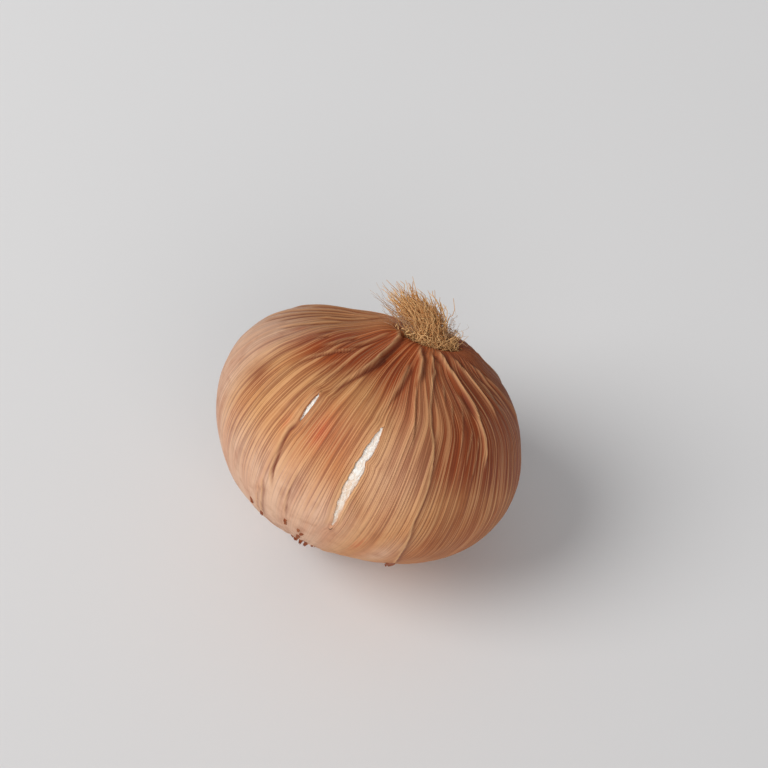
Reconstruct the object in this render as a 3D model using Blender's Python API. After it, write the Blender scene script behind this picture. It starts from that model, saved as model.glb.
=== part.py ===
"""A brown onion at rest on its side: a fleshy bulb, the papery dry skin round it, and its dry roots.

Metres, +Z up, with the ground at z = 0 and the origin at the middle of the flat spot the onion rests on.
The bulb has its own frame: its Z axis runs from the withered neck, underneath, to the roots on top.
Longitude goes round that axis from the front, -Y, towards +X, and latitude rises to 90 degrees at the roots.
"""

import math

import bmesh
import bpy
from mathutils import Matrix, Vector

# The bulb's form
GIRTH_RADIUS = 0.0400
ROOT_END_HEIGHT = 0.0284
ROOT_END_TAPER = 0.90  # 1 is an ellipse, less has squarer shoulders, more is nearer a cone
NECK_END_HEIGHT = 0.0317
NECK_END_TAPER = 1.05
CROWN_SLOPE = 0.20  # how far the root end is skewed, as rise over run
CROWN_SLOPE_TO = math.radians(78)
CROWN_SHIFT = 0.0023  # how far the roots stand off the bulb's axis
CROWN_SHIFT_TO = math.radians(39)
CROWN_SHIFT_POWER = 6  # the higher it is, the nearer the roots the shift stays
SHOULDER_RISE = 0.0017  # a low ring round the roots
SHOULDER_RADIUS = 0.0107
SHOULDER_WIDTH = 0.0045
ROOT_PLATE_RADIUS = 0.0060  # the flat disc that the roots grow from
NECK_SLOPE = 0.135
NECK_SLOPE_TO = math.radians(30)
ROOT_HALF_SWELL = 0.011
ROOT_HALF_SWELL_TO = math.radians(90)
ROOT_HALF_OVAL = 0.039
ROOT_HALF_OVAL_AT = math.radians(35)
NECK_HALF_SWELL = 0.039
NECK_HALF_SWELL_TO = math.radians(134)
NECK_HALF_OVAL = 0.036
NECK_HALF_OVAL_AT = math.radians(150)
GIRTH_TILT = 0.0009
GIRTH_TILT_TO = math.radians(20)

# How the bulb lies
LEAN = math.radians(37.6)
LEAN_TO = math.radians(38.5)  # heading of the lean, from +X towards +Y
BULB_CENTRE = Vector((-0.0027, -0.0042, 0.0352))
FLAT_RADIUS = 0.0108
FLAT_FADE = 0.024

# The dry skin
SKIN_THICKNESS = 0.0006
SKIN_MERIDIANS = 60
SKIN_PARALLELS = 28
SNAP_MERIDIANS = 2.5  # how many mesh lines either side bend to meet a split
SNAP_LATITUDE = math.radians(80)  # none of them bend nearer the poles than this
COLLAR_RADIUS = 0.0062  # the hole that the roots come out of
NECK_STUB_CORE = 0.0020  # the withered neck is this wide at its tip and NECK_STUB_RADIUS at its foot
NECK_STUB_RADIUS = 0.0050
NECK_STUB_RISE = 0.0018
# Each split runs along a meridian: its longitude, its lower and upper latitudes, and half its width
SPLITS = (
    (math.radians(-12.0), math.radians(-30), math.radians(28), 0.0012),
    (math.radians(-38.5), math.radians(-27), math.radians(26), 0.0005),
)

# The fleshy bulb inside it
FLESH_INSET = 0.0010  # the skin's thickness and the clearance under it
FLESH_MERIDIANS = 48
FLESH_PARALLELS = 24

# The dry roots, as one brush that grows square to the root plate and then bends over
BRUSH_CLEARANCE = 0.0003
BRUSH_RISE = 0.0050
BRUSH_TIP = Vector((-0.0042, 0.0062, 0.0123))  # from the brush's foot to its tip
BRUSH_RADIUS = 0.0050
BRUSH_TAPER = 0.22  # how much slimmer the tip is, before it rounds off
BRUSH_ROUND_FROM = 0.70  # the share of its length where it starts to round off
BRUSH_ROUND_TO = 1.02
BRUSH_RINGS = 13

SKIN_COLOUR = (0.50, 0.20, 0.085, 1.0)
FLESH_COLOUR = (0.86, 0.82, 0.74, 1.0)
ROOT_COLOUR = (0.55, 0.38, 0.20, 1.0)


def clear_scene():
    """Remove every object of the startup scene."""
    for obj in list(bpy.data.objects):
        bpy.data.objects.remove(obj, do_unlink=True)


def material(name, colour, roughness):
    """A plain dielectric material."""
    made = bpy.data.materials.new(name)
    made.use_nodes = True
    shader = made.node_tree.nodes["Principled BSDF"]
    shader.inputs["Base Color"].default_value = colour
    shader.inputs["Roughness"].default_value = roughness
    shader.inputs["Metallic"].default_value = 0.0
    return made


def smoothstep(low, high, value):
    """0 below low, 1 above high, and an S curve between them."""
    share = min(max((value - low) / (high - low), 0.0), 1.0)
    return share * share * (3 - 2 * share)


def lying_pose():
    """The bulb's own frame as a matrix: leaning, with its middle at BULB_CENTRE."""
    hinge = Vector((-math.sin(LEAN_TO), math.cos(LEAN_TO), 0))
    return Matrix.Translation(BULB_CENTRE) @ Matrix.Rotation(LEAN, 4, hinge)


POSE = lying_pose()


def heading(longitude):
    """The unit vector across the bulb's axis towards a longitude."""
    return Vector((math.sin(longitude), -math.cos(longitude), 0))


def swell(longitude, along):
    """How much wider than round the bulb is; along is 1 at the root pole and -1 at the neck pole."""
    root_half = ROOT_HALF_SWELL * math.cos(longitude - ROOT_HALF_SWELL_TO)
    root_half += ROOT_HALF_OVAL * math.cos(2 * (longitude - ROOT_HALF_OVAL_AT))
    neck_half = NECK_HALF_SWELL * math.cos(longitude - NECK_HALF_SWELL_TO)
    neck_half += NECK_HALF_OVAL * math.cos(2 * (longitude - NECK_HALF_OVAL_AT))
    return 1 + (root_half * (1 + along) + neck_half * (1 - along)) / 2


def root_end(longitude, outward, along, inset):
    """A point of the root half, before GIRTH_TILT."""
    radius = (GIRTH_RADIUS - inset) * outward**ROOT_END_TAPER * swell(longitude, along)
    height = (ROOT_END_HEIGHT - inset) * along
    height += CROWN_SLOPE * math.cos(longitude - CROWN_SLOPE_TO) * radius * along**3
    off_shoulder = (max(radius, ROOT_PLATE_RADIUS) - SHOULDER_RADIUS) / SHOULDER_WIDTH
    height += SHOULDER_RISE * math.exp(-(off_shoulder**2))
    shift = CROWN_SHIFT * along**CROWN_SHIFT_POWER * heading(CROWN_SHIFT_TO)
    return radius * heading(longitude) + shift + Vector((0, 0, height))


def neck_end(longitude, outward, along, inset):
    """A point of the neck half, before GIRTH_TILT."""
    radius = (GIRTH_RADIUS - inset) * outward**NECK_END_TAPER * swell(longitude, along)
    height = (NECK_END_HEIGHT - inset) * along
    height -= NECK_SLOPE * math.cos(longitude - NECK_SLOPE_TO) * radius * along**3
    return radius * heading(longitude) + Vector((0, 0, height))


def bulb_surface(longitude, latitude, inset=0.0):
    """A point of the bulb's surface in its own frame, with its girth and height less by inset."""
    outward = max(math.cos(latitude), 0.0)
    along = math.sin(latitude)
    half = root_end if along > 0 else neck_end
    point = half(longitude, outward, along, inset)
    point.z += GIRTH_TILT * math.cos(longitude - GIRTH_TILT_TO) * outward**2
    return point


def settled(point, floor):
    """The point with the underside pressed flat at height floor, from the bulb's frame and back to it."""
    lying = POSE @ point
    if lying.z > BULB_CENTRE.z:
        return point
    pressed = 1 - smoothstep(FLAT_RADIUS, FLAT_FADE, math.hypot(lying.x, lying.y))
    lying.z = max(lying.z + (floor - lying.z) * pressed, floor)
    return POSE.inverted() @ lying


def angles_of(vert):
    """A vertex of the unit sphere as (longitude, latitude)."""
    x, y, z = vert.co
    return math.atan2(x, -y), math.asin(max(-1.0, min(1.0, z)))


def put_on_sphere(vert, longitude, latitude):
    """Move a vertex of the unit sphere."""
    outward = math.cos(latitude)
    vert.co = (outward * math.sin(longitude), -outward * math.cos(longitude), math.sin(latitude))


def unit_sphere(meridians, parallels):
    """A bmesh sphere whose poles are on Z."""
    mesh = bmesh.new()
    bmesh.ops.create_uvsphere(mesh, u_segments=meridians, v_segments=parallels, radius=1.0)
    return mesh


def snap_meridian(mesh, split):
    """Bend the mesh line nearest to a split onto it, and return the vertices of that line that it opens."""
    longitude, low, high, _ = split
    step = math.tau / SKIN_MERIDIANS
    line = round(longitude / step) * step
    opened = []
    for vert in mesh.verts:
        around, latitude = angles_of(vert)
        nearness = max(0.0, 1 - abs(around - line) / (SNAP_MERIDIANS * step))
        if abs(latitude) < SNAP_LATITUDE and nearness:
            put_on_sphere(vert, around + (longitude - line) * nearness, latitude)
        if abs(around - line) < step / 2 and low < latitude < high:
            opened.append(vert)
    return opened


def open_split(mesh, split):
    """Cut the sphere along a split's meridian and part the two lips."""
    longitude, low, high, half_width = split
    line = set(snap_meridian(mesh, split))
    cut = [edge for edge in mesh.edges if line.issuperset(edge.verts)]
    parted = bmesh.ops.split_edges(mesh, edges=cut)["edges"]
    for vert in {vert for edge in parted for vert in edge.verts if vert.is_boundary}:
        middle = sum((face.calc_center_median() for face in vert.link_faces), Vector())
        side = 1 if math.atan2(middle.x, -middle.y) > longitude else -1
        _, latitude = angles_of(vert)
        gape = math.sin(math.pi * (latitude - low) / (high - low)) * half_width / GIRTH_RADIUS
        if len(vert.link_faces) < 4:
            put_on_sphere(vert, longitude + side * gape, latitude)


def open_collar(mesh):
    """Take off the cap at the root pole, leaving a round hole of COLLAR_RADIUS."""
    cap = [face for face in mesh.faces if len(face.verts) == 3 and face.calc_center_median().z > 0]
    bmesh.ops.delete(mesh, geom=cap, context="FACES")
    collar_latitude = math.acos((COLLAR_RADIUS / GIRTH_RADIUS) ** (1 / ROOT_END_TAPER))
    for vert in mesh.verts:
        if vert.is_boundary and angles_of(vert)[1] > SNAP_LATITUDE:
            put_on_sphere(vert, angles_of(vert)[0], collar_latitude)


def neck_stub(longitude, latitude):
    """How far the withered neck stands out past the bulb's surface there, along its axis."""
    if latitude > 0:
        return 0.0
    radius = bulb_surface(longitude, latitude).xy.length
    return NECK_STUB_RISE * (1 - smoothstep(NECK_STUB_CORE, NECK_STUB_RADIUS, radius))


def shape_as_bulb(mesh, inset, floor, stub):
    """Take every vertex from the unit sphere to the bulb's surface, less inset, lying at height floor."""
    for vert in mesh.verts:
        longitude, latitude = angles_of(vert)
        point = bulb_surface(longitude, latitude, inset)
        point.z -= stub * neck_stub(longitude, latitude)
        vert.co = settled(point, floor)


def add_object(name, data, finish, parent=None):
    """Link a new object to the scene with its finish and parent."""
    obj = bpy.data.objects.new(name, data)
    data.materials.append(finish)
    bpy.context.scene.collection.objects.link(obj)
    obj.parent = parent
    return obj


def mesh_object(name, mesh, finish, parent):
    """An object from a bmesh, shaded smooth."""
    bmesh.ops.recalc_face_normals(mesh, faces=mesh.faces[:])
    data = bpy.data.meshes.new(name)
    mesh.to_mesh(data)
    mesh.free()
    data.shade_smooth()
    return add_object(name, data, finish, parent)


def make_bulb_axis():
    """The empty that carries the bulb: its Z axis is the bulb's."""
    axis = bpy.data.objects.new("bulb_axis", None)
    bpy.context.scene.collection.objects.link(axis)
    axis.matrix_world = POSE
    return axis


def make_dry_skin(axis):
    """The papery skin, open along its splits and at the collar round the roots."""
    mesh = unit_sphere(SKIN_MERIDIANS, SKIN_PARALLELS)
    for split in SPLITS:
        open_split(mesh, split)
    open_collar(mesh)
    shape_as_bulb(mesh, inset=0.0, floor=0.0, stub=1.0)
    skin = mesh_object("dry_skin", mesh, material("dry_skin", SKIN_COLOUR, 0.55), axis)
    wall = skin.modifiers.new("wall", "SOLIDIFY")
    wall.thickness = SKIN_THICKNESS
    wall.offset = -1.0
    return skin


def make_flesh(axis):
    """The fleshy bulb that the skin wraps, seen through the splits."""
    mesh = unit_sphere(FLESH_MERIDIANS, FLESH_PARALLELS)
    shape_as_bulb(mesh, inset=FLESH_INSET, floor=FLESH_INSET, stub=0.0)
    return mesh_object("bulb", mesh, material("flesh", FLESH_COLOUR, 0.40), axis)


def brush_path(share):
    """A point of the brush's middle line, from the root plate at share 0 to the tip at 1."""
    plate = POSE @ bulb_surface(0.0, math.pi / 2, FLESH_INSET)
    upward = Vector((0, 0, 1)) - CROWN_SLOPE * heading(CROWN_SLOPE_TO)
    upward = (POSE.to_3x3() @ upward).normalized()
    foot = plate + upward * BRUSH_CLEARANCE
    bend = foot + upward * BRUSH_RISE
    tip = foot + BRUSH_TIP
    return foot.lerp(bend, share).lerp(bend.lerp(tip, share), share)


def brush_width(share):
    """The brush's radius as a share of its foot's: slimmer towards the tip, then rounded off."""
    rounding = max(share - BRUSH_ROUND_FROM, 0) / (BRUSH_ROUND_TO - BRUSH_ROUND_FROM)
    return (1 - BRUSH_TAPER * share) * math.sqrt(1 - rounding**2)


def make_root_brush():
    """The dry roots as one brush-shaped solid, bent over from the root plate."""
    curve = bpy.data.curves.new("root_tuft", "CURVE")
    curve.dimensions = "3D"
    curve.bevel_depth = BRUSH_RADIUS
    curve.bevel_resolution = 4
    curve.use_fill_caps = True
    spline = curve.splines.new("POLY")
    spline.points.add(BRUSH_RINGS - 1)
    for index, point in enumerate(spline.points):
        share = index / (BRUSH_RINGS - 1)
        point.co = (*brush_path(share), 1.0)
        point.radius = brush_width(share)
    return add_object("root_tuft", curve, material("dry_roots", ROOT_COLOUR, 0.80))


def main():
    """Build the onion."""
    clear_scene()
    axis = make_bulb_axis()
    make_flesh(axis)
    make_dry_skin(axis)
    make_root_brush()


main()
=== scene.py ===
"""The looks of a brown onion at rest on its side: papery skin, white inner scale and a tuft of dry roots.

Metres, +Z up, ground at z = 0. Longitude goes round the bulb's own axis from its front, -Y, towards +X, and
latitude rises to 90 degrees at the roots. Paths over the skin are written in degrees, sizes in metres.
"""

import logging
import math
from dataclasses import dataclass
from enum import Enum
from typing import Any, Union

import bmesh
import bpy
import numpy as np
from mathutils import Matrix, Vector


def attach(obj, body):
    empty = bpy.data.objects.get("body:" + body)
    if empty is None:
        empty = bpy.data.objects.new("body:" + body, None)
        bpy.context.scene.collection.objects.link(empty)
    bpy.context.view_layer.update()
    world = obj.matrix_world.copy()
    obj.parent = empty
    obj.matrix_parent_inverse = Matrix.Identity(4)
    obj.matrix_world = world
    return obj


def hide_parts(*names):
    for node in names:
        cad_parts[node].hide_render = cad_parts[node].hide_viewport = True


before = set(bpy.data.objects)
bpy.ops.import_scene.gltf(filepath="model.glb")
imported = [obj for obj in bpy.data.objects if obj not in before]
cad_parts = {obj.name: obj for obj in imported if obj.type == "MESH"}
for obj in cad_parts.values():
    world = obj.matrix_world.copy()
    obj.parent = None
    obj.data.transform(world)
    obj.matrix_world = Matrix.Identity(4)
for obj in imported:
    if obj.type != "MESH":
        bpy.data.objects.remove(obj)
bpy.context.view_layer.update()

LOG = logging.getLogger("onion")
MM = 0.001
Colour = tuple[float, float, float]
Path = tuple[tuple[float, float], ...]


def shade_of(code: str) -> Colour:
    """A display colour, as six hexadecimal digits, turned into linear red, green and blue."""
    parts = [int(code[at : at + 2], 16) / 255 for at in (0, 2, 4)]
    return tuple(part / 12.92 if part < 0.04045 else ((part + 0.055) / 1.055) ** 2.4 for part in parts)


def smoothstep(low: float, high: float, value: np.ndarray) -> np.ndarray:
    """An S curve from 0 at low to 1 at high, in which low may be the larger."""
    share = np.clip((value - low) / (high - low), 0.0, 1.0)
    return share * share * (3 - 2 * share)


def hump(distance: np.ndarray, width: float) -> np.ndarray:
    """A bell curve, 1 at distance 0."""
    return np.exp(-((distance / width) ** 2))


def turn_between(longitude: np.ndarray, middle: float) -> np.ndarray:
    """The signed angle in degrees from middle to each longitude, the short way round."""
    return (longitude - middle + 180.0) % 360.0 - 180.0


def patch(lon: np.ndarray, lat: np.ndarray, at: tuple[float, float], size: tuple[float, float]) -> np.ndarray:
    """A soft round patch on the bulb, all in degrees: 1 at its middle, fading to 0 past its half sizes."""
    return np.exp(-((turn_between(lon, at[0]) / size[0]) ** 2) - ((lat - at[1]) / size[1]) ** 2)


def fine_sphere(meridians: int, parallels: int, cuts: int = 3) -> bmesh.types.BMesh:
    """A unit sphere with its poles on Z, made coarse and then cut finer.

    Args:
        meridians: how many columns the coarse one has.
        parallels: how many rows it has.
        cuts: how many times each edge is cut.
    Returns:
        The sphere.
    """
    mesh = bmesh.new()
    bmesh.ops.create_uvsphere(mesh, u_segments=meridians, v_segments=parallels, radius=1.0)
    bmesh.ops.subdivide_edges(mesh, edges=mesh.edges[:], cuts=cuts, use_grid_fill=True)
    return mesh


def made_mesh(mesh: bmesh.types.BMesh, name: str) -> bpy.types.Mesh:
    """Turn a bmesh into a named mesh, and free it."""
    data = bpy.data.meshes.new(name)
    mesh.to_mesh(data)
    mesh.free()
    return data


def read_points(data: bpy.types.Mesh) -> np.ndarray:
    """Where a mesh's vertices are."""
    points = np.zeros(len(data.vertices) * 3, np.float32)
    data.vertices.foreach_get("co", points)
    return points.reshape(-1, 3).astype(float)


def write_masks(data: bpy.types.Mesh, masks: dict[str, np.ndarray]) -> None:
    """Give a mesh a float attribute from 0 to 1 for each mask."""
    for name, mask in masks.items():
        mask = np.clip(mask, 0, 1).astype(np.float32)
        data.attributes.new(name, "FLOAT", "POINT").data.foreach_set("value", mask)


def write_fibre(data: bpy.types.Mesh, fibre: np.ndarray) -> None:
    """Give a mesh the vector attribute that its ribs are drawn from."""
    flat = fibre.astype(np.float32).ravel()
    data.attributes.new("fibre", "FLOAT_VECTOR", "POINT").data.foreach_set("vector", flat)


def place_points(data: bpy.types.Mesh, points: np.ndarray) -> None:
    """Move a mesh's vertices."""
    data.vertices.foreach_set("co", points.astype(np.float32).ravel())


# ---------------------------------------------------------------- shader maths


@dataclass(frozen=True)
class Wire:
    """A node's output, which ordinary sums turn into Math nodes."""

    graph: "Graph"
    socket: bpy.types.NodeSocket

    def __add__(self, other: "Value") -> "Wire":
        """This plus other."""
        return self.graph.maths("ADD", self, other)

    def __sub__(self, other: "Value") -> "Wire":
        """This less other."""
        return self.graph.maths("SUBTRACT", self, other)

    def __rsub__(self, other: "Value") -> "Wire":
        """Other less this."""
        return self.graph.maths("SUBTRACT", other, self)

    def __mul__(self, other: "Value") -> "Wire":
        """This times other."""
        return self.graph.maths("MULTIPLY", self, other)

    __radd__ = __add__
    __rmul__ = __mul__


Value = Union[Wire, float, Colour]


class Graph:
    """A material's node tree."""

    def __init__(self, name: str) -> None:
        """Make an empty material of that name."""
        self.material = bpy.data.materials.new(name)
        self.material.use_nodes = True
        self.tree = self.material.node_tree
        self.tree.nodes.clear()

    def node(self, kind: str, settings: dict[str, Any], inputs: dict[Any, Value], output: Any = 0) -> Wire:
        """Add one node.

        Args:
            kind: its type.
            settings: its own settings, set first.
            inputs: a value or a wire for each socket.
            output: the name or number of the socket to return.
        Returns:
            That output.
        """
        made = self.tree.nodes.new(kind)
        for name, value in settings.items():
            setattr(made, name, value)
        for name, value in inputs.items():
            socket = made.inputs[name]
            if isinstance(value, Wire):
                self.tree.links.new(value.socket, socket)
            elif isinstance(value, tuple) and socket.type == "RGBA":
                socket.default_value = (*value, 1.0)
            else:
                socket.default_value = value
        return Wire(self, made.outputs[output]) if made.outputs else Wire(self, made.inputs[0])

    def maths(self, operation: str, first: Value, second: Value) -> Wire:
        """A Math node."""
        return self.node("ShaderNodeMath", {"operation": operation}, {0: first, 1: second})

    def attribute(self, name: str, output: str = "Fac") -> Wire:
        """One of the piece's own attributes."""
        return self.node("ShaderNodeAttribute", {"attribute_name": name}, {}, output)

    def place(self) -> Wire:
        """Object coordinates."""
        return self.node("ShaderNodeTexCoord", {}, {}, "Object")

    def stretched(self, vector: Wire, by: Colour) -> Wire:
        """A vector multiplied part by part."""
        return self.node("ShaderNodeVectorMath", {"operation": "MULTIPLY"}, {0: vector, 1: by})

    def noise(self, vector: Wire, scale: float, detail: float = 2.0, distortion: float = 0.0) -> Wire:
        """Noise about 0.5, with so many features to a unit and so many finer layers."""
        inputs = {"Vector": vector, "Scale": scale, "Detail": detail, "Distortion": distortion}
        return self.node("ShaderNodeTexNoise", {}, inputs, "Fac")

    def between(self, value: Wire, low: float, high: float, top: float = 1.0) -> Wire:
        """An S curve that leaves 0 at low and reaches top at high."""
        inputs = {"Value": value, "From Min": low, "From Max": high, "To Max": top}
        return self.node("ShaderNodeMapRange", {"interpolation_type": "SMOOTHSTEP"}, inputs)

    def mix(self, share: Value, first: Value, second: Value) -> Wire:
        """The first colour mixed with a share of the second."""
        settings = {"data_type": "RGBA", "clamp_factor": True}
        return self.node("ShaderNodeMix", settings, {0: share, 6: first, 7: second}, 2)

    def bump(self, height: Wire, distance: float) -> Wire:
        """A Bump node that reads a height."""
        inputs = {"Height": height, "Distance": distance, "Strength": 1.0}
        return self.node("ShaderNodeBump", {}, inputs, "Normal")

    def surface(self, inputs: dict[str, Value]) -> bpy.types.Material:
        """End the material in a Principled shader with those inputs."""
        shader = self.node("ShaderNodeBsdfPrincipled", {}, inputs)
        self.node("ShaderNodeOutputMaterial", {}, {"Surface": shader})
        return self.material


# -------------------------------------------------------------------- finishes


@dataclass(frozen=True)
class PaperySkin:
    """Dry brown skin: ribbed along its fibres, rust where thick, pinkish tan where thin; painted shade in
    creases, painted highlight on crests.
    """

    tan: Colour = shade_of("D0945C")
    rust: Colour = shade_of("AD4A10")
    pale: Colour = shade_of("E0B79A")
    brown: Colour = shade_of("8E4014")
    blush: Colour = shade_of("C65A2C")
    # deep brown, also the colour of the painted shade in creases and on the shadow side of ridges
    deep_and_shade: Colour = shade_of("6E2A0C")
    # pale tan, also the colour of the painted highlight on fold and pleat crests
    crest_highlight_and_tone: Colour = shade_of("E2AC78")
    rib_depth: float = 0.00022

    def dress(self, name: str = "papery_skin") -> bpy.types.Material:
        """Build the material.

        Args:
            name: its name.
        Returns:
            The material, which reads the skin's own attributes.
        """
        graph = Graph(name)
        fibre = graph.attribute("fibre", "Vector")
        ribs = graph.noise(graph.stretched(fibre, (112.0, 112.0, 1.3)), 1.0, 0.0)
        streaks = graph.noise(graph.stretched(fibre, (48.0, 48.0, 0.9)), 1.0, 1.5)
        bands = graph.noise(graph.stretched(fibre, (8.0, 8.0, 1.5)), 1.0, 3.0, 0.3)
        mottle = graph.noise(graph.place(), 260.0, 4.0, 0.4)
        speckle = graph.noise(graph.place(), 1500.0, 2.0)
        ribbed = graph.attribute("ribbed")

        colour = graph.mix(graph.attribute("rust"), self.tan, self.rust)
        colour = graph.mix(graph.attribute("pale"), colour, self.pale)
        colour = graph.mix(graph.attribute("brown"), colour, self.brown)
        colour = graph.mix(graph.attribute("blush") * graph.between(streaks, 0.3, 0.62), colour, self.blush)
        colour = graph.mix(graph.between(bands, 0.35, 0.75, 0.35), colour, self.rust)
        colour = graph.mix(graph.between(mottle, 0.42, 0.75, 0.35) * (1 - 0.6 * ribbed), colour, self.brown)
        colour = graph.mix(graph.between(streaks, 0.50, 0.30, 0.22) * ribbed, colour, self.deep_and_shade)
        # rib grooves take the deep brown and rib tops the pale tan, in step with the ribs' bump: partly vein
        # colour, partly painted shade and painted highlight
        colour = graph.mix(graph.between(ribs, 0.49, 0.39, 0.42) * ribbed, colour, self.deep_and_shade)
        colour = graph.mix(graph.between(ribs, 0.53, 0.63, 0.38) * ribbed, colour, self.crest_highlight_and_tone)
        colour = graph.mix(graph.between(speckle, 0.62, 0.74, 0.22) * (1 - ribbed), colour, self.brown)
        # painted highlight on fold and pleat crests, then painted shade in creases and beside ridges
        colour = graph.mix(graph.attribute("crest_highlight_and_tone"), colour, self.crest_highlight_and_tone)
        colour = graph.mix(graph.attribute("crease_shade_and_tone"), colour, self.deep_and_shade)

        relief = ribs * ribbed + streaks * (0.8 * ribbed) + mottle * 0.25
        return graph.surface(
            {
                "Base Color": colour,
                "Roughness": 0.50 + mottle * 0.22,
                "IOR": 1.42,
                "Normal": graph.bump(relief, self.rib_depth),
            }
        )


@dataclass(frozen=True)
class InnerScale:
    """The white film over the moist flesh: crinkled, and pinkish where it is thin."""

    white: Colour = shade_of("F6F2EA")
    thin: Colour = shade_of("E8CDB4")
    cork: Colour = shade_of("7C4C28")

    def dress(self) -> bpy.types.Material:
        """Build the material.

        Returns:
            The material.
        """
        graph = Graph("inner_scale")
        fibre = graph.attribute("fibre", "Vector")
        crinkle = graph.noise(graph.stretched(fibre, (60.0, 60.0, 26.0)), 1.0, 3.0, 0.6)
        grain = graph.noise(graph.place(), 900.0, 2.0)
        share = graph.attribute("thin") + graph.between(crinkle, 0.56, 0.40, 0.55)
        colour = graph.mix(share, self.white, self.thin)
        colour = graph.mix(graph.attribute("corky"), colour, graph.mix(grain, self.cork, self.thin))
        return graph.surface(
            {
                "Base Color": colour,
                "Roughness": 0.34 + grain * 0.2,
                "Normal": graph.bump(crinkle + grain * 0.2, 0.0004),
            }
        )


@dataclass(frozen=True)
class DryRoot:
    """Dry straw-coloured fibre, greyer where it is fine and browner towards its foot."""

    straw: Colour = shade_of("ECBE82")
    khaki: Colour = shade_of("C08044")
    brown: Colour = shade_of("8E5A2C")
    grey: Colour = shade_of("A99A90")

    def dress(self) -> bpy.types.Material:
        """Build the material.

        Returns:
            The material, which reads each fibre's own attributes.
        """
        graph = Graph("dry_root")
        grain = graph.noise(graph.stretched(graph.place(), (1.0, 1.0, 0.4)), 2600.0, 2.0)
        colour = graph.mix(graph.attribute("tint"), self.straw, self.khaki)
        colour = graph.mix(graph.attribute("foot"), colour, self.brown)
        colour = graph.mix(graph.attribute("grey"), colour, self.grey)
        colour = graph.mix(graph.between(grain, 0.50, 0.75, 0.25), colour, self.brown)
        return graph.surface(
            {
                "Base Color": colour,
                "Roughness": 0.62 + grain * 0.25,
                "Normal": graph.bump(grain, 0.00005),
            }
        )


@dataclass(frozen=True)
class PaleTable:
    """The plain pale surface that the onion rests on, darkened towards the front by painted shade."""

    grey: Colour = shade_of("F0EEED")
    warm: Colour = shade_of("ECEAE8")
    # the front colour is painted shade: the table grows darker towards the front
    front: Colour = shade_of("D8D6D5")

    def dress(self) -> bpy.types.Material:
        """Build the material.

        Returns:
            The material.
        """
        graph = Graph("pale_table")
        cloud = graph.noise(graph.place(), 6.0, 3.0)
        back = graph.node("ShaderNodeSeparateXYZ", {}, {"Vector": graph.place()}, "Y")
        colour = graph.mix(cloud, self.grey, self.warm)
        # painted shade: darker towards the front, -Y
        colour = graph.mix(graph.between(back, 0.35, -0.25), colour, self.front)
        return graph.surface({"Base Color": colour, "Roughness": 0.75})


# ------------------------------------------------------------- the bulb's form


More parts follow.
